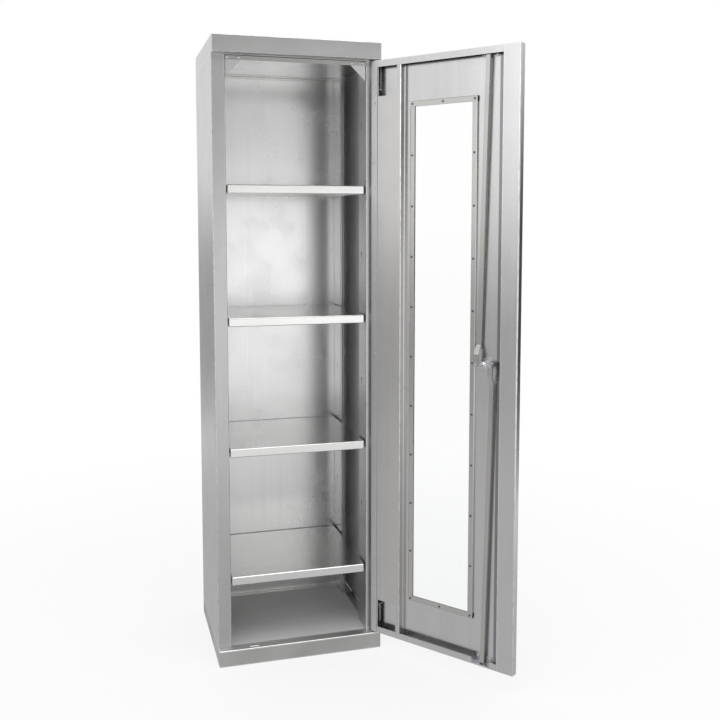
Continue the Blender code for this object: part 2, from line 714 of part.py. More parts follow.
def make_door_skin(door_axis, pin_holes):
    size = (DOOR_RIGHT - DOOR_LEFT, DOOR_TOP - DOOR_FOOT, DOOR_THICKNESS)
    lips = (LATCH_FLANGE, HINGE_FLANGE, DOOR_END_FLANGE, DOOR_END_FLANGE)
    skin = add_pan(
        "door_skin", size, lips, (0, DOOR_INNER, DOOR_MIDDLE), (math.pi / 2, 0, 0), door_axis)
    lip_x = DOOR_LEFT + LATCH_FLANGE - SEAT_GAP
    lip_end = DOOR_END_FLANGE + SEAT_GAP
    lip = add_door_box(
        "latch_lip", (lip_x - SHEET, DOOR_INNER - LATCH_LIP, DOOR_FOOT + lip_end),
        (lip_x, DOOR_INNER - SHEET / 2, DOOR_TOP - lip_end), door_axis)
    combine(skin, lip, "UNION")
    half_width = WINDOW_WIDTH / 2
    half_height = WINDOW_HEIGHT / 2
    window = add_door_box(
        "window_opening", (WINDOW_X - half_width, FRONT - CUT_OVERRUN, DOOR_MIDDLE - half_height),
        (WINDOW_X + half_width, SKIN_INNER + CUT_OVERRUN, DOOR_MIDDLE + half_height), door_axis)
    combine(skin, window)
    for hole in pin_holes:
        combine(skin, hole)
    spindle_hole = add_tool(
        "spindle_hole", cylinder_mesh("spindle_hole", SPINDLE_BORE, 2 * CUT_OVERRUN),
        (LOCK_X, FRONT, LOCK_Z), (math.pi / 2, 0, 0), door_axis)
    combine(skin, spindle_hole)

    back = DOOR_INNER - SHEET - CUT_OVERRUN
    front = DOOR_INNER + CUT_OVERRUN
    notch_half = GUIDE_WIDTH / 2 + GUIDE_NOTCH_GAP
    slot_half = GUIDE_SLOT_HALF + SEAT_GAP
    slot_depth = ROD_THICKNESS / 2 + ROD_FACE_PLAY + SEAT_GAP
    latch_seam = DOOR_LEFT + LATCH_FLANGE + SEAT_GAP
    hinge_seam = DOOR_RIGHT - HINGE_FLANGE - SEAT_GAP - SEAM_WIDTH
    notch = {"guide_notch": (LOCK_X - notch_half, LOCK_X + notch_half)}
    seams = {
        "latch_seam": (latch_seam, latch_seam + SEAM_WIDTH),
        "hinge_seam": (hinge_seam, hinge_seam + SEAM_WIDTH)}
    ends = (("top", DOOR_TOP, -1, seams), ("foot", DOOR_FOOT, 1, seams | notch))
    for end_name, end_z, inward, spans in ends:
        slot = add_door_box(
            "rod_slot_" + end_name,
            (LOCK_X - slot_half, ROD_MIDDLE_Y - slot_depth, end_z - CUT_OVERRUN),
            (LOCK_X + slot_half, ROD_MIDDLE_Y + slot_depth, end_z + CUT_OVERRUN), door_axis)
        combine(skin, slot)
    for end_name, end_z, inward, spans in ends:
        fold_z = end_z + inward * 2 * BEND_RADIUS
        edge_z = end_z + inward * (DOOR_END_FLANGE + CUT_OVERRUN)
        low_z, high_z = sorted((fold_z, edge_z))
        for kind, (low_x, high_x) in spans.items():
            name = kind + "_" + end_name
            combine(skin, add_door_box(name, (low_x, back, low_z), (high_x, front, high_z), door_axis))


# Stiffening channel behind the skin

def make_stiffener(door_axis):
    foot_y = SKIN_INNER + SHEET
    top_y = DOOR_INNER - SHEET - SEAT_GAP
    side_x = DOOR_RIGHT - END_WALL_INNER
    wall_x = DOOR_RIGHT - STIFFENER_WIDTH
    low_z = DOOR_FOOT + SHEET + STIFFENER_END_GAP
    high_z = DOOR_TOP - SHEET - STIFFENER_END_GAP
    corners = [
        (side_x, top_y - STIFFENER_LIP, low_z), (side_x, top_y, low_z), (wall_x, top_y, low_z),
        (wall_x, foot_y, low_z), (wall_x - STIFFENER_FOOT, foot_y, low_z)]
    stiffener = add_folded("hinge_stiffener", corners, (0, 0, high_z - low_z), door_axis)
    high_x = DOOR_RIGHT - POCKET_INSET
    low_x = high_x - POCKET_WIDTH
    for end_name, end_z, inward in (("top", DOOR_TOP, -1), ("foot", DOOR_FOOT, 1)):
        first_z, last_z = sorted((end_z, end_z + inward * POCKET_LENGTH))
        pocket = add_door_box(
            "pocket_" + end_name, (low_x, top_y - SHEET - CUT_OVERRUN, first_z),
            (high_x, top_y + CUT_OVERRUN, last_z), door_axis)
        combine(stiffener, pocket)


# Window: seal, pane and four retaining strips

def make_window(door_axis):
    middle = Vector((WINDOW_X, 0, DOOR_MIDDLE))
    half_size = Vector((WINDOW_WIDTH / 2, 0, WINDOW_HEIGHT / 2))
    lap = Vector((PANE_LAP, 0, PANE_LAP))
    low = middle - half_size - lap
    high = middle + half_size + lap
    mesh, centre = box_between(
        "pane", (low.x, PANE_FRONT, low.z), (high.x, PANE_FRONT + PANE_THICKNESS, high.z))
    add_part("window_pane", mesh, GLASS, centre, axis=door_axis)

    margin = Vector((SEAL_WIDTH, 0, SEAL_WIDTH))
    low = middle - half_size - margin
    high = middle + half_size + margin
    mesh, centre = box_between(
        "seal", (low.x, SKIN_INNER, low.z), (high.x, SKIN_INNER + SEAL_THICKNESS, high.z))
    seal = add_part("window_seal", mesh, RUBBER, centre, axis=door_axis)
    low = middle - half_size
    high = middle + half_size
    opening = add_door_box(
        "seal_opening", (low.x, SKIN_INNER - CUT_OVERRUN, low.z),
        (high.x, SKIN_INNER + SEAL_THICKNESS + CUT_OVERRUN, high.z), door_axis)
    combine(seal, opening)

    upright = WINDOW_HEIGHT - 2 * SEAT_GAP
    across = WINDOW_WIDTH + 2 * STRIP_WIDTH
    leg = STRIP_FACE - SKIN_INNER
    sides = (
        ("hinge_side", 0, half_size.x, upright), ("latch_side", math.pi, half_size.x, upright),
        ("top", -math.pi / 2, half_size.z, across), ("foot", math.pi / 2, half_size.z, across))
    for side_name, angle, reach, length in sides:
        corners = [(STRIP_WIDTH, -leg, -length / 2), (STRIP_WIDTH, 0, -length / 2), (0, 0, -length / 2)]
        turned = Matrix.Rotation(angle, 3, "Y")
        location = middle + turned @ Vector((reach, STRIP_FACE, 0))
        strip = add_part(
            "window_strip_" + side_name, folded_mesh("strip", corners, (0, 0, length)), STEEL,
            location, (0, angle, 0), door_axis)
        thicken(strip)


# Lock. Its pieces lie round the spindle, with local z pointing out of the door's face.

def make_handle(handle_axis):
    place = (LOCK_X, FRONT, LOCK_Z)
    facing_out = (math.pi / 2, 0, 0)
    outline = []
    for step in range(GRIP_STEPS):
        angle = 2 * math.pi * step / GRIP_STEPS
        outline.append((GRIP_LENGTH / 2 * math.cos(angle), GRIP_WIDTH / 2 * math.sin(angle)))
    mesh = outline_mesh("grip", outline, GRIP_THICKNESS)
    mesh.transform(Matrix.Translation((0, 0, GRIP_BASE + GRIP_THICKNESS / 2)))
    handle = add_part("handle", mesh, POLISHED, place, facing_out, handle_axis)
    round_edges(handle, GRIP_EDGE)

    middle = GRIP_BASE + GRIP_THICKNESS / 2
    spindle_end = -CAM_BACK - SPINDLE_PROUD
    half = SPINDLE_WIDTH / 2
    mesh = cylinder_mesh("neck", NECK_RADIUS, middle - SEAT_GAP)
    mesh.transform(Matrix.Translation((0, 0, (middle + SEAT_GAP) / 2)))
    neck = add_tool("neck", mesh, place, facing_out, handle_axis)
    combine(handle, neck, "UNION")
    mesh, centre = box_between("spindle", (-half, -half, spindle_end), (half, half, GRIP_BASE))
    mesh.transform(Matrix.Translation(centre))
    spindle = add_tool("spindle", mesh, place, facing_out, handle_axis)
    combine(handle, spindle, "UNION")
    bore_base = GRIP_FACE - BARREL_LENGTH
    bore_top = GRIP_FACE + CUT_OVERRUN
    mesh = cylinder_mesh("barrel_bore", BARREL_RADIUS + SEAT_GAP, bore_top - bore_base)
    mesh.transform(Matrix.Translation((0, 0, (bore_top + bore_base) / 2)))
    bore = add_tool("barrel_bore", mesh, place, facing_out, handle_axis)
    combine(handle, bore)

    barrel_top = GRIP_FACE + BARREL_PROUD
    barrel_base = bore_base + SEAT_GAP
    profile = [
        (0, barrel_top), (BARREL_RADIUS - BARREL_PROUD, barrel_top), (BARREL_RADIUS, GRIP_FACE),
        (BARREL_RADIUS, barrel_base), (0, barrel_base)]
    barrel = add_part(
        "lock_cylinder", profile_mesh("barrel", profile), BRASS, place, facing_out, handle_axis)
    turn(barrel)
    half_width = KEYWAY_WIDTH / 2
    half_length = KEYWAY_LENGTH / 2
    mesh, centre = box_between(
        "keyway", (-half_width, -half_length, barrel_top - KEYWAY_DEPTH),
        (half_width, half_length, barrel_top + CUT_OVERRUN))
    mesh.transform(Matrix.Translation(centre))
    keyway = add_tool("keyway", mesh, place, facing_out, handle_axis)
    combine(barrel, keyway)


def make_lock_seats(door_axis):
    """The rose outside the skin and the spindle's bearing inside it."""
    place = (LOCK_X, FRONT, LOCK_Z)
    facing_out = (math.pi / 2, 0, 0)
    bore = NECK_RADIUS + SEAT_GAP
    top = SEAT_GAP + ROSE_HEIGHT
    profile = [
        (bore, top), (ROSE_RADIUS - ROSE_CHAMFER, top), (ROSE_RADIUS, top - ROSE_CHAMFER),
        (ROSE_RADIUS, SEAT_GAP), (bore, SEAT_GAP)]
    mesh = profile_mesh("rose", profile, closed=True)
    turn(add_part("handle_rose", mesh, POLISHED, place, facing_out, door_axis))
    flange_top = -SHEET - SEAT_GAP
    flange_base = flange_top - BEARING_FLANGE_HEIGHT
    base = SEAT_GAP - CAM_LEVEL
    profile = [
        (SPINDLE_BORE, flange_top), (BEARING_FLANGE_RADIUS, flange_top),
        (BEARING_FLANGE_RADIUS, flange_base), (BEARING_RADIUS, flange_base),
        (BEARING_RADIUS, base), (SPINDLE_BORE, base)]
    mesh = profile_mesh("bearing", profile, closed=True)
    turn(add_part("spindle_bearing", mesh, ZINC, place, facing_out, door_axis))


def stadium(length, width, steps):
    """A plate outline with round ends."""
    points = []
    for end in (1, -1):
        for step in range(steps + 1):
            angle = math.pi * (step / steps - 1 / 2)
            x = (length - width) / 2 + width / 2 * math.cos(angle)
            points.append((end * x, end * width / 2 * math.sin(angle)))
    return points


def make_cam(handle_axis):
    place = (LOCK_X, FRONT, LOCK_Z)
    facing_out = (math.pi / 2, 0, 0)
    mesh = outline_mesh("cam", stadium(2 * CAM_ARM + CAM_WIDTH, CAM_WIDTH, KEYHOLE_STEPS), CAM_THICKNESS)
    mesh.transform(Matrix.Translation((0, 0, -CAM_LEVEL - CAM_THICKNESS / 2)))
    cam = add_part("lock_cam", mesh, ZINC, place, facing_out, handle_axis)
    half = SPINDLE_WIDTH / 2 + SEAT_GAP
    mesh, centre = box_between(
        "square", (-half, -half, -CAM_BACK - CUT_OVERRUN), (half, half, CUT_OVERRUN - CAM_LEVEL))
    mesh.transform(Matrix.Translation(centre))
    combine(cam, add_tool("cam_square", mesh, place, facing_out, handle_axis))
    root = -CAM_LEVEL - CAM_THICKNESS / 2
    head = -ROD_EYE_LEVEL - ROD_THICKNESS - SEAT_GAP
    profile = [
        (0, root), (CAM_PIN_RADIUS, root), (CAM_PIN_RADIUS, head), (CAM_PIN_HEAD_RADIUS, head),
        (CAM_PIN_HEAD_RADIUS, head - CAM_PIN_HEAD_HEIGHT), (0, head - CAM_PIN_HEAD_HEIGHT)]
    for side_name, side in (("upper", 1), ("lower", -1)):
        pin_place = (LOCK_X + side * CAM_ARM, FRONT, LOCK_Z)
        mesh = profile_mesh("cam_pin", profile)
        pin = add_tool("cam_pin_" + side_name, mesh, pin_place, facing_out, handle_axis)
        turn(pin, SMALL_ROUND_STEPS)
        combine(cam, pin, "UNION")


# Lock rods, each drawn upright from its cam pin and then leant towards its guide

def make_rod(end_name, side, tip_z, handle_axis):
    """side is 1 for the rod that runs up and -1 for the one that runs down."""
    rise = abs(tip_z - LOCK_Z)
    length = math.hypot(rise, CAM_ARM)
    axis = add_axis(end_name + "_rod_axis", (LOCK_X + side * CAM_ARM, FRONT, LOCK_Z), handle_axis)
    axis.rotation_euler.y = -math.asin(CAM_ARM / length)
    half = ROD_WIDTH / 2
    eye_y = ROD_EYE_LEVEL
    joggle_end = ROD_EYE_LENGTH + ROD_JOGGLE_LENGTH
    corners = [
        (half, eye_y, -ROD_EYE_END), (half, eye_y, ROD_EYE_LENGTH),
        (half, ROD_LEVEL, joggle_end), (half, ROD_LEVEL, length)]
    mesh = folded_mesh("rod", corners, (-ROD_WIDTH, 0, 0), ROD_BEND_RADIUS)
    bm = bmesh.new()
    bm.from_mesh(mesh)
    eye = [vertex for vertex in bm.verts if vertex.co.z < ROD_EYE_LENGTH]
    bmesh.ops.scale(bm, verts=eye, vec=(ROD_EYE_WIDTH / ROD_WIDTH, 1, 1))
    ends = [vertex for vertex in bm.verts if vertex.co.z < 0]
    bmesh.ops.bevel(
        bm, geom=ends, offset=ROD_EYE_WIDTH / 2 - SEAT_GAP, segments=BEND_STEPS, profile=1 / 2,
        affect="VERTICES")
    bm.to_mesh(mesh)
    bm.free()
    if side < 0:
        mesh.transform(Matrix.Rotation(math.pi, 4, "Y"))
    rod = add_part(end_name + "_rod", mesh, POLISHED, axis.location, axis=axis)
    thicken(rod, ROD_THICKNESS)
    depth = 2 * (ROD_EYE_LEVEL + ROD_THICKNESS + CUT_OVERRUN)
    mesh = cylinder_mesh("rod_eye", CAM_PIN_RADIUS + SEAT_GAP, depth, SMALL_ROUND_STEPS)
    combine(rod, add_tool(end_name + "_rod_eye", mesh, axis.location, (math.pi / 2, 0, 0), axis))


def make_guide(end_name, end_z, inward, door_axis):
    """An angle on the skin whose leg lies against the door's end wall, slotted for the rod."""
    half = GUIDE_WIDTH / 2
    wall_z = end_z + inward * END_WALL_INNER
    foot_z = wall_z + inward * GUIDE_FOOT
    corners = [
        (LOCK_X + half, SKIN_INNER, foot_z), (LOCK_X + half, SKIN_INNER, wall_z),
        (LOCK_X + half, SKIN_INNER + GUIDE_LEG, wall_z)]
    if inward > 0:
        corners.reverse()
    mesh = folded_mesh("guide", corners, (-GUIDE_WIDTH, 0, 0))
    guide = add_part("rod_guide_" + end_name, mesh, ZINC, axis=door_axis)
    thicken(guide, GUIDE_SHEET)
    slot_depth = ROD_THICKNESS / 2 + ROD_FACE_PLAY
    slot = add_door_box(
        "guide_slot_" + end_name,
        (LOCK_X - GUIDE_SLOT_HALF, ROD_MIDDLE_Y - slot_depth, wall_z - CUT_OVERRUN),
        (LOCK_X + GUIDE_SLOT_HALF, ROD_MIDDLE_Y + slot_depth, wall_z + CUT_OVERRUN), door_axis)
    combine(guide, slot)


def make_strike_cutter(name, z):
    """The slot in the cap or the plinth that a rod shoots into."""
    half_x = GUIDE_SLOT_HALF + STRIKE_CLEARANCE
    half_y = ROD_THICKNESS / 2 + ROD_FACE_PLAY + STRIKE_CLEARANCE
    mesh, centre = box_between(
        name, (LOCK_X - half_x, ROD_MIDDLE_Y - half_y, z - CUT_OVERRUN),
        (LOCK_X + half_x, ROD_MIDDLE_Y + half_y, z + CUT_OVERRUN))
    return add_tool(name, mesh, centre)


plinth_tray = make_plinth()
top_cap = make_cap()
keyhole_rows = [make_keyhole_cutter(row, y) for row, y in zip(("front", "rear"), KEYHOLE_ROWS)]
for side in ("left", "right"):
    make_side(side, keyhole_rows)
make_back_and_rails()
make_shelves()

pivot = add_axis("door_pivot", (PIVOT_X, PIVOT_Y, 0))
lower_hole, plinth_socket = make_hinge("lower", PLINTH_HEIGHT, DOOR_FOOT, 1, pivot)
upper_hole, cap_socket = make_hinge("upper", CAP_BASE, DOOR_TOP, -1, pivot)
combine(plinth_tray, plinth_socket)
combine(plinth_tray, make_strike_cutter("plinth_strike", PLINTH_HEIGHT))
combine(top_cap, cap_socket)
combine(top_cap, make_strike_cutter("cap_strike", CAP_BASE))

make_door_skin(pivot, (lower_hole, upper_hole))
make_stiffener(pivot)
make_window(pivot)
make_lock_seats(pivot)
spindle_axis = add_axis("handle_axis", (LOCK_X, FRONT, LOCK_Z), pivot)
make_handle(spindle_axis)
make_cam(spindle_axis)
make_rod("upper", 1, DOOR_TOP - ROD_TIP_INSET, spindle_axis)
make_rod("lower", -1, DOOR_FOOT + ROD_TIP_INSET, spindle_axis)
make_guide("upper", DOOR_TOP, -1, pivot)
make_guide("lower", DOOR_FOOT, 1, pivot)
pivot.rotation_euler.z = math.radians(OPEN_ANGLE)
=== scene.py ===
import math

import bmesh
import bpy
from mathutils import Matrix, Vector


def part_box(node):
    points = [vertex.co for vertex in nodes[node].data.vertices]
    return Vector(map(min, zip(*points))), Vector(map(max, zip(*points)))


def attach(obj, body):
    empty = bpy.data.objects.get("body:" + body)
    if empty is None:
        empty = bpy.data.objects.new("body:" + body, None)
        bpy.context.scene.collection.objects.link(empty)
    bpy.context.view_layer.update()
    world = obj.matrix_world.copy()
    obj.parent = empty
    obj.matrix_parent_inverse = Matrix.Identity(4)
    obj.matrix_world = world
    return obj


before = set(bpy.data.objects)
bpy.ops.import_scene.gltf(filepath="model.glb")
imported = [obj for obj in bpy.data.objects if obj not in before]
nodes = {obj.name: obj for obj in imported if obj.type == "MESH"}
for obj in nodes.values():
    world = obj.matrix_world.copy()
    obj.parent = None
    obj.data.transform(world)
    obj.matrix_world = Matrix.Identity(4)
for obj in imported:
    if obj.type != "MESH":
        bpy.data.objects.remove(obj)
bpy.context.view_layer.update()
print("frame loaded with", len(nodes), "nodes")

# Door pieces are described where they lie with the door closed, then swung open
doorSwing = {"pivot": (0.2365, -0.2, 0.0), "openAngle": 127.0}


class Wire:
    # one socket of a material's nodes, so that sums on it add Math nodes
    def __init__(self, socket):
        self.socket = socket

    def node(self, kind, settings=None, values=None, output=0):
        tree = self.socket.id_data
        item = tree.nodes.new(kind)
        for name, setting in (settings or {}).items():
            setattr(item, name, setting)
        for name, value in (values or {}).items():
            if isinstance(value, Wire):
                tree.links.new(value.socket, item.inputs[name])
            else:
                item.inputs[name].default_value = value
        return Wire(item.outputs[output])

    def calc(self, operation, left, right):
        return self.node("ShaderNodeMath", {"operation": operation}, {0: left, 1: right})

    def __add__(self, other):
        return self.calc("ADD", self, other)

    def __radd__(self, other):
        return self.calc("ADD", other, self)

    def __sub__(self, other):
        return self.calc("SUBTRACT", self, other)

    def __rsub__(self, other):
        return self.calc("SUBTRACT", other, self)

    def __mul__(self, other):
        return self.calc("MULTIPLY", self, other)

    def __pow__(self, other):
        return self.calc("POWER", self, other)

    def __abs__(self):
        return self.node("ShaderNodeMath", {"operation": "ABSOLUTE"}, {0: self})

    def __mod__(self, other):
        return self.calc("FLOORED_MODULO", self, other)

    def either(self, other):
        return self.calc("MAXIMUM", self, other)

    def axis(self, index):
        return self.node("ShaderNodeSeparateXYZ", {}, {0: self}, index)

    def stretched(self, scale):
        return self.node("ShaderNodeVectorMath", {"operation": "MULTIPLY"}, {0: self, 1: scale})

    def noise(self, scale, detail=2.0, distortion=0.0):
        values = {"Vector": self, "Scale": scale, "Detail": detail, "Distortion": distortion}
        return self.node("ShaderNodeTexNoise", {}, values)

    def smooth(self, low, high):
        values = {"Value": self, "From Min": low, "From Max": high}
        return self.node("ShaderNodeMapRange", {"interpolation_type": "SMOOTHSTEP"}, values)

    def near(self, place, reach):
        return 1 - abs(self - place).smooth(0.0, reach)

    def within(self, low, high, soft):
        return self.smooth(low - soft, low) * (1 - self.smooth(high, high + soft))

    def blend(self, first, second):
        return self.node("ShaderNodeMix", {"data_type": "RGBA"}, {0: self, 6: first, 7: second}, 2)

    def bumped(self, strength):
        values = {"Strength": strength, "Distance": 0.0001, "Height": self}
        return self.node("ShaderNodeBump", {}, values)


def startMaterial(name, constants):
    material = bpy.data.materials.new(name)
    material.use_nodes = True
    shader = material.node_tree.nodes["Principled BSDF"]
    for socketName, value in constants.items():
        shader.inputs[socketName].default_value = value
    coordinates = material.node_tree.nodes.new("ShaderNodeTexCoord")
    return material, shader, Wire(coordinates.outputs["Object"])


def connect(shader, wires):
    for socketName, wire in wires.items():
        wire.socket.id_data.links.new(wire.socket, shader.inputs[socketName])


def closedPlace(place):
    # the same point while the door is closed, so that the grain follows the door
    values = {"Vector": place, "Center": doorSwing["pivot"], "Angle": math.radians(-doorSwing["openAngle"])}
    return place.node("ShaderNodeVectorRotate", {"rotation_type": "Z_AXIS"}, values)


def brushedSteel(name, look, onDoor=False):
    constants = {"Metallic": look["metal"], "IOR": 1.5, "Specular IOR Level": 0.5}
    material, shader, place = startMaterial(name, constants)
    if onDoor:
        place = closedPlace(place)
    hairScale = [look["hairlines"]] * 3
    hairScale[look["grain"]] *= look["stretch"]
    bandScale = [look["bands"]] * 3
    bandScale[look["grain"]] *= look["bandStretch"]
    hair = place.stretched(hairScale).noise(1.0, 3.0)
    band = place.stretched(bandScale).noise(1.0, 2.0)
    cloud = place.noise(look["clouds"], 3.0, 0.4)
    wiped = place.noise(look["wipes"], 2.0, 0.3).smooth(0.40, 0.75)
    scratchScale = [value * look["scratchSize"] for value in hairScale]
    scratch = place.stretched(scratchScale).noise(1.0, 1.0).smooth(0.70, 0.76)
    tone = 0.5 + (hair - 0.5) * look["hairShare"] + (band - 0.5) * look["bandShare"]
    tone = tone + (cloud - 0.5) * look["cloudShare"] + scratch * look["scratchShare"]
    patches = place.noise(look["wearPatches"], 3.0).smooth(0.30, 0.62)
    worn = edgeWear(place, look["edges"], look["levels"]) * patches
    soiled = (1 - place.axis(2).smooth(*look["soil"])) * (0.55 + cloud)
    # painted shade: the listed corner boxes are darkened, as shade where a flange stands over the sheet
    shaded = cornerBands(place, look["corners"]) * (0.8 + cloud * 0.4)
    colour = tone.blend((*look["dark"], 1.0), (*look["light"], 1.0))
    colour = (worn * look["wornShare"]).blend(colour, (*look["worn"], 1.0))
    colour = (soiled * look["soilShare"]).blend(colour, (*look["soilColour"], 1.0))
    colour = (shaded * look["paintedShadeShare"]).blend(colour, (*look["paintedShadeColour"], 1.0))
    spots = weldSpots(place, look["spots"])
    colour = (spots * look["spotShare"]).blend(colour, (*look["spotColour"], 1.0))
    roughness = look["roughness"] + (cloud - 0.5) * look["roughShare"] + wiped * 0.05
    roughness = roughness + (band - 0.5) * look["roughShare"] - worn * 0.08 + soiled * 0.10
    satin = cornerBands(place, look["satin"])
    roughness = roughness + satin * 0.12
    if look["satin"]:
        connect(shader, {"Metallic": look["metal"] - satin * look["satinShare"]})
    height = hair + band * 0.4 - scratch * 0.6 - spots * 2.0
    connect(shader, {"Base Color": colour, "Roughness": roughness, "Normal": height.bumped(look["bump"])})
    return material


def edgeWear(place, edges, levels):
    # the worn share near each edge, where two planes meet: axis and place of both, and the reach
    share = place.axis(0) * 0.0
    spots = [place.axis(0), place.axis(1), place.axis(2) % levels]
    for first, firstPlace, second, secondPlace, reach in edges:
        meeting = spots[first].near(firstPlace, reach) * spots[second].near(secondPlace, reach)
        share = share.either(meeting)
    return share


def cornerBands(place, bands):
    # box-shaped bands, given by low corner, high corner and softness: painted shade on the door skin where
    # a flange stands over it, and dull unbrushed satin bands beside a fold, where no brush reaches
    share = place.axis(0) * 0.0
    for low, high, soft in bands:
        band = place.axis(0).within(low[0], high[0], soft) * place.axis(1).within(low[1], high[1], 0.0004)
        share = share.either(band * place.axis(2).within(low[2], high[2], soft))
    return share


def weldSpots(place, rows):
    # rings of spot welds in upright rows, given as x, y and the pitch along z
    share = place.axis(0) * 0.0
    for x, y, pitch in rows:
        along = abs((place.axis(2) % pitch) - pitch / 2)
        across = abs(place.axis(0) - x)
        reach = (along ** 2.0 + across ** 2.0) ** 0.5
        onFace = place.axis(1).near(y, 0.0012)
        share = share.either(reach.near(0.0026, 0.0009) * onFace)
    return share


sheetLook = {
    "light": (0.72, 0.72, 0.715), "dark": (0.52, 0.52, 0.52), "worn": (0.86, 0.86, 0.86),
    "soilColour": (0.35, 0.34, 0.32), "spotColour": (0.30, 0.29, 0.29),
    "roughness": 0.27, "roughShare": 0.05, "bump": 0.015,
    "grain": 2, "hairlines": 600.0, "stretch": 0.010, "hairShare": 0.16,
    "bands": 60.0, "bandStretch": 0.012, "bandShare": 0.34,
    "clouds": 4.5, "cloudShare": 0.26, "wipes": 11.0,
    "edges": [], "levels": 100.0, "soil": (0.0001, 0.0002), "spots": [],
    # strength and colour of the painted shade in the corner boxes
    "corners": [], "paintedShadeShare": 0.75, "paintedShadeColour": (0.16, 0.16, 0.17),
    "metal": 1.0, "satin": [], "satinShare": 0.4, "wornShare": 0.7, "wearPatches": 60.0,
    "scratchSize": 0.31, "scratchShare": 0.25, "soilShare": 0.6, "spotShare": 0.55,
}
sideLook = sheetLook | {
    "light": (0.62, 0.62, 0.62), "dark": (0.44, 0.44, 0.44), "roughness": 0.30,
    "satin": [((0.2475, -0.20, 0.0), (0.2492, 0.21, 1.85), 0.0004)], "satinShare": 0.45,
    "edges": [
        (0, -0.25, 1, -0.184, 0.005), (0, 0.25, 1, -0.184, 0.005), (0, -0.21, 1, -0.184, 0.004),
        (0, 0.21, 1, -0.184, 0.004), (0, -0.25, 1, 0.21, 0.005), (0, 0.25, 1, 0.21, 0.005)],
    "spots": [(-0.2425, 0.21, 0.12), (0.2425, 0.21, 0.12)],
}
capLook = sheetLook | {
    "grain": 0, "light": (0.62, 0.62, 0.615), "dark": (0.44, 0.44, 0.44), "roughness": 0.30,
    "edges": [
        (1, -0.21, 2, 1.85, 0.004), (1, -0.21, 2, 1.799, 0.004), (0, -0.25, 2, 1.85, 0.004),
        (0, 0.25, 2, 1.85, 0.004), (0, -0.25, 1, -0.21, 0.004), (0, 0.25, 1, -0.21, 0.004),
        (1, 0.21, 2, 1.85, 0.004), (0, -0.25, 2, 1.799, 0.004), (0, 0.25, 2, 1.799, 0.004)],
}
plinthLook = capLook | {
    "light": (0.90, 0.90, 0.89), "dark": (0.78, 0.78, 0.77), "roughness": 0.40, "wornShare": 0.35,
    "satin": [((-0.24, -0.176, 0.046), (0.24, 0.206, 0.054), 0.004)], "satinShare": 0.6,
    "soil": (0.0440, 0.0498), "soilColour": (0.30, 0.30, 0.295),
    "edges": [
        (1, -0.21, 2, 0.05, 0.004), (0, -0.25, 2, 0.05, 0.004), (0, 0.25, 2, 0.05, 0.004),
        (0, -0.25, 1, -0.21, 0.004), (0, 0.25, 1, -0.21, 0.004), (1, -0.21, 2, 0.0, 0.005)],
}
shelfLook = sheetLook | {
    "grain": 0, "light": (0.88, 0.88, 0.87), "dark": (0.72, 0.72, 0.71), "roughness": 0.20, "levels": 0.39,
    "wipes": 9.0, "edges": [(1, -0.178, 2, 0.26, 0.004), (1, -0.178, 2, 0.235, 0.004)],
}
railLook = sheetLook | {
    "grain": 0, "light": (0.78, 0.78, 0.77), "dark": (0.58, 0.58, 0.575), "roughness": 0.28}
# the lintel is the rail steel painted darker, as painted shade under the cap
lintelPaintedShadeLook = railLook | {"light": (0.50, 0.50, 0.49), "dark": (0.34, 0.34, 0.33), "roughness": 0.17}
postLook = sheetLook | {"light": (0.74, 0.74, 0.735), "dark": (0.52, 0.52, 0.52), "roughness": 0.19}
backLook = sheetLook | {
    "light": (0.86, 0.86, 0.86), "dark": (0.70, 0.70, 0.70), "roughness": 0.24, "cloudShare": 0.45}
doorLook = sheetLook | {
    "light": (0.72, 0.72, 0.725), "dark": (0.54, 0.54, 0.545), "roughness": 0.23,
    "edges": [
        (0, -0.2465, 1, -0.21, 0.005), (0, -0.2465, 1, -0.188, 0.005), (0, -0.1935, 1, -0.188, 0.004),
        (0, 0.2465, 1, -0.21, 0.004), (2, 0.053, 1, -0.21, 0.005), (2, 1.796, 1, -0.21, 0.005),
        (2, 0.053, 1, -0.188, 0.004), (2, 1.796, 1, -0.188, 0.004)],
    # painted shade on the skin: beside the latch flange and under the top flange
    "corners": [
        ((-0.200, -0.2095, 0.056), (-0.1745, -0.2070, 1.793), 0.003),
        ((-0.230, -0.2095, 1.778), (0.140, -0.2070, 1.796), 0.003)],
}
stiffenerLook = sheetLook | {
    "light": (0.70, 0.69, 0.68), "dark": (0.50, 0.495, 0.49), "roughness": 0.19,
    "edges": [(0, 0.1405, 1, -0.1895, 0.004)]}
rodLook = sheetLook | {
    "light": (0.60, 0.585, 0.565), "dark": (0.45, 0.44, 0.425), "roughness": 0.20, "hairShare": 0.3}
stripLook = sheetLook | {"light": (0.64, 0.635, 0.62), "dark": (0.46, 0.455, 0.44), "roughness": 0.18}
flatStripLook = stripLook | {"grain": 0}

sideSteel = brushedSteel("sideSteel", sideLook)
capSteel = brushedSteel("capSteel", capLook)
plinthSteel = brushedSteel("plinthSteel", plinthLook)
shelfSteel = brushedSteel("shelfSteel", shelfLook)
railSteel = brushedSteel("railSteel", railLook)
lintelPaintedShadeSteel = brushedSteel("lintelPaintedShadeSteel", lintelPaintedShadeLook)
postSteel = brushedSteel("postSteel", postLook)
backSteel = brushedSteel("backSteel", backLook)
doorSteel = brushedSteel("doorSteel", doorLook, True)
stiffenerSteel = brushedSteel("stiffenerSteel", stiffenerLook, True)
stripSteel = brushedSteel("stripSteel", stripLook, True)
flatStripSteel = brushedSteel("flatStripSteel", flatStripLook, True)
rodSteel = brushedSteel("rodSteel", rodLook, True)


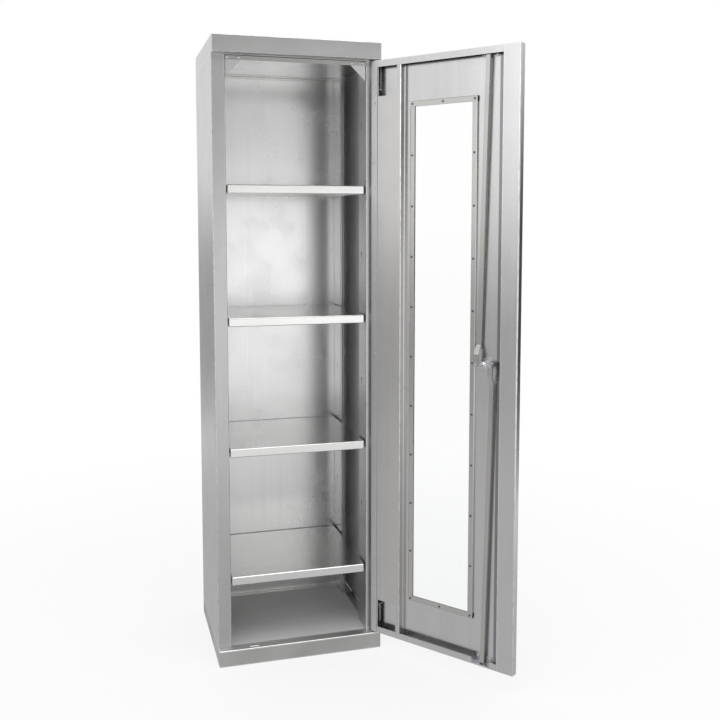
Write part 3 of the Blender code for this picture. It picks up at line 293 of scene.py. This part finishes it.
def zincPlating(name, look):
    constants = {"Metallic": 1.0, "Coat Weight": look["coat"], "Coat Roughness": 0.35}
    material, shader, place = startMaterial(name, constants)
    grains = place.node("ShaderNodeTexVoronoi", {}, {"Vector": place, "Scale": look["crystals"]}, 1)
    crystal = grains.axis(0)
    cloud = place.noise(look["clouds"], 4.0, 0.6)
    rubbed = place.noise(160.0, 3.0).smooth(0.58, 0.70)
    colour = (crystal * 0.35 + cloud * 0.65).blend((*look["dark"], 1.0), (*look["light"], 1.0))
    colour = (rubbed * 0.4).blend(colour, (*look["rubbed"], 1.0))
    roughness = look["roughness"] + (cloud - 0.5) * 0.16 + crystal * 0.06 - rubbed * 0.08
    height = cloud + place.noise(900.0, 2.0) * 0.3
    connect(shader, {"Base Color": colour, "Roughness": roughness, "Normal": height.bumped(look["bump"])})
    return material


zincLook = {
    "light": (0.70, 0.71, 0.73), "dark": (0.44, 0.45, 0.48), "rubbed": (0.80, 0.80, 0.80),
    "roughness": 0.30, "coat": 0.1, "crystals": 420.0, "clouds": 60.0, "bump": 0.05,
}
zincSteel = zincPlating("zincSteel", zincLook)


def polishedSteel(name, look):
    constants = {"Metallic": 1.0, "Coat Weight": look["coat"], "Coat Roughness": 0.08}
    material, shader, place = startMaterial(name, constants)
    place = closedPlace(place)
    haze = place.noise(look["haze"], 3.0, 0.5)
    touched = place.noise(55.0, 4.0, 1.2).smooth(0.50, 0.68)
    scratches = place.stretched((260.0, 2600.0, 2600.0)).noise(1.0, 1.0).smooth(0.66, 0.74)
    colour = haze.blend((*look["dark"], 1.0), (*look["light"], 1.0))
    colour = (scratches * 0.3).blend(colour, (*look["scratched"], 1.0))
    roughness = look["roughness"] + touched * 0.10 + scratches * 0.12 + (haze - 0.5) * 0.05
    height = haze * 0.3 - scratches
    connect(shader, {"Base Color": colour, "Roughness": roughness, "Normal": height.bumped(look["bump"])})
    return material


handleLook = {
    "light": (0.86, 0.86, 0.86), "dark": (0.70, 0.70, 0.71), "scratched": (0.55, 0.55, 0.56),
    "roughness": 0.13, "coat": 0.0, "haze": 40.0, "bump": 0.08,
}
screwLook = handleLook | {
    "roughness": 0.22, "light": (0.78, 0.78, 0.78), "dark": (0.58, 0.58, 0.58), "haze": 300.0}
dullScrewLook = screwLook | {"roughness": 0.36, "light": (0.22, 0.22, 0.22), "dark": (0.13, 0.13, 0.13)}
barrelLook = handleLook | {
    "light": (0.83, 0.68, 0.38), "dark": (0.66, 0.50, 0.24), "scratched": (0.52, 0.38, 0.18),
    "roughness": 0.22}
handleSteel = polishedSteel("handleSteel", handleLook)
screwSteel = polishedSteel("screwSteel", screwLook)
dullScrewSteel = polishedSteel("dullScrewSteel", dullScrewLook)
barrelBrass = polishedSteel("barrelBrass", barrelLook)


def paneGlass(name, look):
    constants = {"Transmission Weight": 1.0, "IOR": 1.5, "Metallic": 0.0}
    material, shader, place = startMaterial(name, constants)
    place = closedPlace(place)
    film = place.noise(look["film"], 4.0, 0.8).smooth(0.45, 0.75)
    edge = place.axis(0).near(-0.102, 0.0015).either(place.axis(0).near(0.1125, 0.0015))
    colour = edge.blend((*look["clear"], 1.0), (*look["edge"], 1.0))
    roughness = look["roughness"] + film * 0.02
    connect(shader, {"Base Color": colour, "Roughness": roughness})
    return material


glassLook = {"clear": (0.985, 0.992, 0.988), "edge": (0.45, 0.72, 0.62), "roughness": 0.004, "film": 7.0}
clearGlass = paneGlass("clearGlass", glassLook)


def mouldedPlastic(name, look):
    constants = {"Metallic": 0.0, "Specular IOR Level": 0.4, "Sheen Weight": look["sheen"]}
    material, shader, place = startMaterial(name, constants)
    mottle = place.noise(look["mottle"], 4.0, 0.4)
    pits = place.noise(1800.0, 2.0)
    dust = place.noise(30.0, 4.0, 0.8).smooth(0.55, 0.75)
    colour = mottle.blend((*look["dark"], 1.0), (*look["light"], 1.0))
    colour = (dust * 0.25).blend(colour, (*look["dust"], 1.0))
    roughness = look["roughness"] + (mottle - 0.5) * 0.15 + dust * 0.1
    connect(shader, {"Base Color": colour, "Roughness": roughness, "Normal": pits.bumped(look["bump"])})
    return material


rubberLook = {
    "light": (0.060, 0.060, 0.063), "dark": (0.030, 0.030, 0.032), "dust": (0.22, 0.21, 0.20),
    "roughness": 0.72, "sheen": 0.15, "mottle": 220.0, "bump": 0.3,
}
nylonLook = {
    "light": (0.20, 0.20, 0.205), "dark": (0.13, 0.13, 0.135), "dust": (0.32, 0.31, 0.30),
    "roughness": 0.48, "sheen": 0.0, "mottle": 300.0, "bump": 0.3,
}
sealRubber = mouldedPlastic("sealRubber", rubberLook)
bushNylon = mouldedPlastic("bushNylon", nylonLook)

finishes = {
    "side_panel_left": sideSteel, "side_panel_right": sideSteel,
    "top_cap": capSteel, "plinth_tray": plinthSteel,
    "roof_panel": railSteel, "base_crossmember": railSteel, "back_panel": backSteel,
    "rear_post_left": postSteel, "rear_post_right": postSteel,
    "lintel_rail": lintelPaintedShadeSteel, "rear_top_rail": railSteel,
    "rear_floor_angle": railSteel, "side_foot_angle_left": railSteel, "side_foot_angle_right": railSteel,
    "gusset_left": postSteel, "gusset_right": postSteel,
    "shelf_1": shelfSteel, "shelf_2": shelfSteel, "shelf_3": shelfSteel, "shelf_4": shelfSteel,
    "hinge_bush_lower": bushNylon, "hinge_bush_upper": bushNylon,
    "door_skin": doorSteel, "hinge_stiffener": stiffenerSteel,
    "window_strip_hinge_side": stripSteel, "window_strip_latch_side": stripSteel,
    "window_strip_top": flatStripSteel, "window_strip_foot": flatStripSteel,
    "window_pane": clearGlass, "window_seal": sealRubber,
    "hinge_pin_lower": zincSteel, "hinge_pin_upper": zincSteel,
    "hinge_bracket_lower": zincSteel, "hinge_bracket_upper": zincSteel,
    "rod_guide_lower": zincSteel, "rod_guide_upper": zincSteel,
    "spindle_bearing": zincSteel, "lock_cam": zincSteel,
    "handle": handleSteel, "handle_rose": handleSteel, "lock_cylinder": barrelBrass,
    "upper_rod": rodSteel, "lower_rod": rodSteel,
}
for nodeName, item in nodes.items():
    item.data.materials[0] = finishes.get(nodeName, zincSteel)  # the shelf clips are zinc plated
print("finishes given to", len(nodes), "nodes")


def turnedMesh(name, profile, steps):
    # a solid of revolution about Z from (radius, height) points, both ends on the axis
    mesh = bmesh.new()
    rings = []
    for radius, height in profile:
        if radius == 0:
            rings.append([mesh.verts.new((0, 0, height))])
            continue
        angles = [2 * math.pi * step / steps for step in range(steps)]
        rings.append([mesh.verts.new((radius * math.cos(a), radius * math.sin(a), height)) for a in angles])
    for low, high in zip(rings, rings[1:]):
        for step in range(steps):
            after = (step + 1) % steps
            corners = [low[step % len(low)], low[after % len(low)]]
            corners += [high[after % len(high)], high[step % len(high)]]
            unique = [corner for index, corner in enumerate(corners) if corner not in corners[:index]]
            mesh.faces.new(unique)
    bmesh.ops.recalc_face_normals(mesh, faces=mesh.faces)
    data = bpy.data.meshes.new(name)
    mesh.to_mesh(data)
    mesh.free()
    return data


def crossTool(name, width, reach, depth, top):
    # two crossed tapered blades that cut the driver recess
    mesh = bmesh.new()
    for turn in (0.0, math.pi / 2):
        made = bmesh.ops.create_cube(mesh, size=1.0)["verts"]
        for corner in made:
            taper = 0.45 if corner.co.z < 0 else 1.0
            x, y, z = corner.co
            corner.co = Vector((x * reach * 2 * taper, y * width * taper, top + z * depth * 2))
        bmesh.ops.rotate(mesh, verts=made, cent=(0, 0, 0), matrix=Matrix.Rotation(turn, 3, "Z"))
    data = bpy.data.meshes.new(name)
    mesh.to_mesh(data)
    mesh.free()
    return data


def carved(data, toolData):
    # the first mesh with the second cut out of it
    item = bpy.data.objects.new("carving", data)
    tool = bpy.data.objects.new("carvingTool", toolData)
    for thing in (item, tool):
        bpy.context.scene.collection.objects.link(thing)
    cut = item.modifiers.new("cut", "BOOLEAN")
    cut.object = tool
    cut.operation = "DIFFERENCE"
    cut.solver = "EXACT"
    cut.use_self = True
    graph = bpy.context.evaluated_depsgraph_get()
    result = bpy.data.meshes.new_from_object(item.evaluated_get(graph))
    for thing in (item, tool):
        bpy.data.objects.remove(thing)
    return result


def faceTurn(direction, spin=0.0):
    # turns +Z to a direction, after a spin about Z
    return Vector(direction).to_track_quat("Z", "Y").to_matrix().to_4x4() @ Matrix.Rotation(spin, 4, "Z")


def stamp(name, heads, finish, body, swung=False):
    # one piece from copies of small meshes, each with its place and direction
    whole = bmesh.new()
    for data, place, direction, spin in heads:
        copy = data.copy()
        copy.transform(Matrix.Translation(place) @ faceTurn(direction, spin))
        whole.from_mesh(copy)
        bpy.data.meshes.remove(copy)
    result = bpy.data.meshes.new(name)
    whole.to_mesh(result)
    whole.free()
    if swung:
        pivot = Vector(doorSwing["pivot"])
        swing = Matrix.Rotation(math.radians(doorSwing["openAngle"]), 4, "Z")
        result.transform(Matrix.Translation(pivot) @ swing @ Matrix.Translation(-pivot))
    result.shade_smooth()
    result.set_sharp_from_angle(angle=math.radians(38))
    result.materials.append(finish)
    piece = bpy.data.objects.new(name, result)
    bpy.context.scene.collection.objects.link(piece)
    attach(piece, body)
    return piece


screwShape = {
    "radius": 0.0034, "height": 0.0019, "recess": 0.0013, "reach": 0.0021, "blade": 0.0009, "steps": 24}
lintelScrewShape = screwShape | {"radius": 0.0044, "height": 0.0024, "reach": 0.0026, "blade": 0.0011}
rivetShape = {"radius": 0.0033, "height": 0.0012, "mandrel": 0.0011, "steps": 20}


def panHead(shape):
    r, h = shape["radius"], shape["height"]
    profile = [
        (0, -0.0003), (r * 0.96, -0.0003), (r, 0), (r, h * 0.35), (r * 0.93, h * 0.68),
        (r * 0.74, h * 0.92), (r * 0.4, h), (0, h)]
    head = turnedMesh("panHead", profile, shape["steps"])
    tool = crossTool("driverRecess", shape["blade"], shape["reach"], shape["recess"], h)
    return carved(head, tool)


def rivetHead(shape):
    r, h, m = shape["radius"], shape["height"], shape["mandrel"]
    profile = [
        (0, -0.0003), (r * 0.97, -0.0003), (r, 0), (r, h * 0.18), (r * 0.9, h * 0.5), (r * 0.68, h * 0.84),
        (m * 1.25, h), (m, h * 0.94), (m * 0.9, h * 0.35), (m * 0.55, h * 0.45), (0, h * 0.5)]
    return turnedMesh("rivetHead", profile, shape["steps"])


screwHead = panHead(screwShape)
rivet = rivetHead(rivetShape)

# Screws of the window strips, three along each end and eleven along each side
windowScrews = {"left": -0.098, "right": 0.109, "low": 0.187, "high": 1.662, "face": -0.2025, "rows": 11}
heads = []
for row in range(windowScrews["rows"]):
    share = row / (windowScrews["rows"] - 1)
    height = windowScrews["low"] + (windowScrews["high"] - windowScrews["low"]) * share
    columns = [windowScrews["left"], windowScrews["right"]]
    if row in (0, windowScrews["rows"] - 1):
        columns.insert(1, (windowScrews["left"] + windowScrews["right"]) / 2)
    for column in columns:
        place = (column, windowScrews["face"], height)
        heads.append((screwHead, place, (0, 1, 0), 0.9 * row + 23 * column))
stamp("windowScrews", heads, dullScrewSteel, "door", True)

# Rivets of the stiffening channel along the hinge flange
channelRivets = {
    "x": 0.2295, "face": -0.188, "heights": (1.6714, 1.4238, 1.1756, 0.9249, 0.674, 0.4265, 0.1788)}
heads = []
for z in channelRivets["heights"]:
    heads.append((rivet, (channelRivets["x"], channelRivets["face"], z), (0, 1, 0), 0.0))
stamp("channelRivets", heads, screwSteel, "door", True)

# Screws of the hinge brackets, in the pockets of the channel
bracketScrews = {"x": 0.2345, "heights": (0.092, 0.128, 1.721, 1.757), "skin": -0.2085, "bracket": 0.0025}
bracketFace = bracketScrews["skin"] + bracketScrews["bracket"]
heads = []
for z in bracketScrews["heights"]:
    heads.append((screwHead, (bracketScrews["x"], bracketFace, z), (0, 1, 0), z * 30))
stamp("bracketScrews", heads, screwSteel, "door", True)

# Rivets of the rod guides, through the foot of each
guideRivets = {"columns": (-0.163, -0.123), "heights": (0.0735, 1.7755), "face": -0.207}
heads = []
for x in guideRivets["columns"]:
    for z in guideRivets["heights"]:
        heads.append((rivet, (x, guideRivets["face"], z), (0, 1, 0), 0.0))
stamp("guideRivets", heads, screwSteel, "door", True)

# Washer and screw that hold the cam on the spindle
camFixing = {"centre": (-0.143, -0.1875, 0.9245), "washer": 0.0085, "thick": 0.0012}
camScrewShape = {
    "radius": 0.0056, "height": 0.0032, "recess": 0.0022, "reach": 0.0032, "blade": 0.0011, "steps": 28}
washerProfile = [
    (0, 0), (camFixing["washer"], 0), (camFixing["washer"], camFixing["thick"] * 0.8),
    (camFixing["washer"] * 0.96, camFixing["thick"]), (0, camFixing["thick"])]
camWasher = turnedMesh("camWasher", washerProfile, 32)
camHead = panHead(camScrewShape)
camCentre = Vector(camFixing["centre"])
camHeadPlace = camCentre + Vector((0, camFixing["thick"], 0))
heads = [(camWasher, camCentre, (0, 1, 0), 0.0), (camHead, camHeadPlace, (0, 1, 0), 0.6)]
stamp("camScrew", heads, screwSteel, "turn_handle", True)

# Screws of the lintel, and rivets of the angles on the floor
lintelScrews = {"columns": (-0.203, -0.170, 0.1665, 0.1986), "height": 1.7905, "face": -0.184}
lintelHead = panHead(lintelScrewShape)
heads = []
for x in lintelScrews["columns"]:
    heads.append((lintelHead, (x, lintelScrews["face"], lintelScrews["height"]), (0, -1, 0), x * 20))
stamp("lintelScrews", heads, screwSteel, "carcass")
footRivets = {
    "sides": (-0.235, 0.235), "rows": (-0.080, -0.028, 0.064),
    "backColumns": (-0.065, 0.065), "backRow": 0.196, "sheet": 0.0012}
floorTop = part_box("side_foot_angle_left")[0].z + footRivets["sheet"]
heads = [(rivet, (x, y, floorTop), (0, 0, 1), 0.0) for x in footRivets["sides"] for y in footRivets["rows"]]
heads += [(rivet, (x, footRivets["backRow"], floorTop), (0, 0, 1), 0.0) for x in footRivets["backColumns"]]
stamp("footRivets", heads, screwSteel, "carcass")
print("screws and rivets made")

studio = {
    "floorSize": 40.0, "floorColour": (0.80, 0.80, 0.80), "floorGlow": 0.78,
    "worldFill": 0.95, "fillColour": (0.97, 0.985, 1.0),
}


def pathShare(tree):
    # camera, glossy and transmission rays see the plain white background
    path = tree.nodes.new("ShaderNodeLightPath")
    seen = Wire(path.outputs["Is Camera Ray"])
    seen = seen.either(Wire(path.outputs["Is Glossy Ray"]))
    return seen.either(Wire(path.outputs["Is Transmission Ray"]))


def makeWorld():
    world = bpy.data.worlds.new("studioWorld")
    world.use_nodes = True
    bpy.context.scene.world = world
    tree = world.node_tree
    tree.nodes.clear()
    output = tree.nodes.new("ShaderNodeOutputWorld")
    share = pathShare(tree)
    fillValues = {"Color": (*studio["fillColour"], 1.0), "Strength": studio["worldFill"]}
    fill = share.node("ShaderNodeBackground", {}, fillValues)
    white = share.node("ShaderNodeBackground", {}, {"Color": (1.0, 1.0, 1.0, 1.0), "Strength": 1.0})
    mixed = share.node("ShaderNodeMixShader", {}, {0: share, 1: fill, 2: white})
    tree.links.new(mixed.socket, output.inputs["Surface"])


def plainPlane(name, width, depth):
    x, y = width / 2, depth / 2
    mesh = bpy.data.meshes.new(name)
    mesh.from_pydata([(-x, -y, 0), (x, -y, 0), (x, y, 0), (-x, y, 0)], [], [(0, 1, 2, 3)])
    return mesh


def makeFloor():
    mesh = plainPlane("floor", studio["floorSize"], studio["floorSize"])
    floor = bpy.data.objects.new("floor", mesh)
    bpy.context.scene.collection.objects.link(floor)
    material, shader, place = startMaterial("paleFloor", {"Roughness": 0.9, "Specular IOR Level": 0.1})
    mottle = place.noise(1.5, 3.0)
    colour = mottle.blend((*studio["floorColour"], 1.0), (0.84, 0.84, 0.84, 1.0))
    connect(shader, {"Base Color": colour})
    tree = material.node_tree
    output = tree.nodes["Material Output"]
    away = place.node("ShaderNodeVectorMath", {"operation": "LENGTH"}, {0: place}, 1)
    share = pathShare(tree) * (studio["floorGlow"] + away.smooth(0.7, 2.6) * (1 - studio["floorGlow"]))
    glow = share.node("ShaderNodeEmission", {}, {"Color": (1.0, 1.0, 1.0, 1.0), "Strength": 1.0})
    mixed = share.node("ShaderNodeMixShader", {}, {0: share, 1: Wire(shader.outputs[0]), 2: glow})
    tree.links.new(mixed.socket, output.inputs["Surface"])
    mesh.materials.append(material)


def makeLamp(name, place, aim, size, power, colour):
    lamp = bpy.data.lights.new(name, "AREA")
    lamp.shape = "RECTANGLE"
    lamp.size, lamp.size_y = size
    lamp.energy = power
    lamp.color = colour
    item = bpy.data.objects.new(name, lamp)
    item.location = place
    item.rotation_euler = (Vector(aim) - Vector(place)).to_track_quat("-Z", "Y").to_euler()
    bpy.context.scene.collection.objects.link(item)


lamps = {
    "topLamp": {
        "place": (0.3, -1.2, 3.4), "aim": (0.1, -0.1, 0.9), "size": (2.6, 2.0), "power": 24.0,
        "colour": (1.0, 0.995, 0.985)},
    "frontLamp": {
        "place": (0.9, -3.4, 1.5), "aim": (0.0, 0.0, 0.9), "size": (1.5, 1.9), "power": 3.0,
        "colour": (1.0, 1.0, 1.0)},
    "leftLamp": {
        "place": (-2.6, -1.9, 2.2), "aim": (0.0, 0.0, 0.9), "size": (1.4, 1.4), "power": 8.0,
        "colour": (0.98, 0.99, 1.0)},
}
# Grey cards that only reflections see, as in a studio, so that the steel isn't all white
cards = {
    "rightCard": {"place": (2.4, -0.5, 1.0), "aim": (0.3, -0.4, 1.0), "size": (3.4, 3.0), "grey": 0.08},
    "leftCard": {"place": (-2.4, -0.9, 0.55), "aim": (0.3, -0.4, 0.7), "size": (2.6, 1.9), "grey": 0.48},
    "backCard": {"place": (-1.5, 2.8, 0.70), "aim": (-0.3, 0.0, 0.8), "size": (2.6, 1.9), "grey": 0.26},
    "frontCard": {"place": (-0.3, -4.6, 3.5), "aim": (-0.3, 0.0, 3.5), "size": (8.0, 3.8), "grey": 0.34},
    "bandCard": {"place": (-0.3, -4.5, 1.95), "aim": (-0.3, 0.0, 1.95), "size": (7.0, 0.9), "grey": 0.22},
    "floorCard": {"place": (-0.6, 0.2, 0.004), "aim": (-0.6, 0.2, 1.0), "size": (7.0, 8.0), "grey": 0.60},
}


def makeCard(name, place, aim, size, grey):
    half = (size[0] / 2, size[1] / 2)
    mesh = plainPlane(name, *size)
    card = bpy.data.objects.new(name, mesh)
    card.location = place
    card.rotation_euler = (Vector(place) - Vector(aim)).to_track_quat("-Z", "Y").to_euler()
    bpy.context.scene.collection.objects.link(card)
    material, shader, spot = startMaterial(name, {})
    tree = material.node_tree
    across = abs(spot.axis(0)).smooth(half[0] * 0.4, half[0])
    upward = abs(spot.axis(1)).smooth(half[1] * 0.2, half[1])
    fade = across.either(upward)
    dim = fade.node("ShaderNodeEmission", {}, {"Color": (grey, grey, grey, 1.0), "Strength": 1.0})
    clear = fade.node("ShaderNodeBsdfTransparent", {}, {})
    mixed = fade.node("ShaderNodeMixShader", {}, {0: fade, 1: dim, 2: clear})
    tree.links.new(mixed.socket, tree.nodes["Material Output"].inputs["Surface"])
    mesh.materials.append(material)
    card.visible_camera = False
    card.visible_diffuse = False
    card.visible_shadow = False
    card.visible_transmission = False


makeWorld()
makeFloor()
for lampName, lampValues in lamps.items():
    makeLamp(lampName, *lampValues.values())
for cardName, cardValues in cards.items():
    makeCard(cardName, *cardValues.values())
print("studio ready")

view = {
    "place": (-0.5772, -2.8624, 1.3249), "azimuth": -16.001, "elevation": 4.900,
    "lens": 46.169, "shift": -0.08333,
}


def makeCamera():
    azimuth = math.radians(view["azimuth"])
    elevation = math.radians(view["elevation"])
    level = math.cos(elevation)
    ahead = Vector((-math.sin(azimuth) * level, math.cos(azimuth) * level, -math.sin(elevation)))
    data = bpy.data.cameras.new("camera")
    data.sensor_width = 36.0
    data.lens = view["lens"]
    data.shift_y = view["shift"]
    camera = bpy.data.objects.new("camera", data)
    camera.location = view["place"]
    camera.rotation_euler = ahead.to_track_quat("-Z", "Y").to_euler()
    bpy.context.scene.collection.objects.link(camera)
    bpy.context.scene.camera = camera


makeCamera()
bpy.context.scene.view_settings.view_transform = "Standard"
print("camera ready")
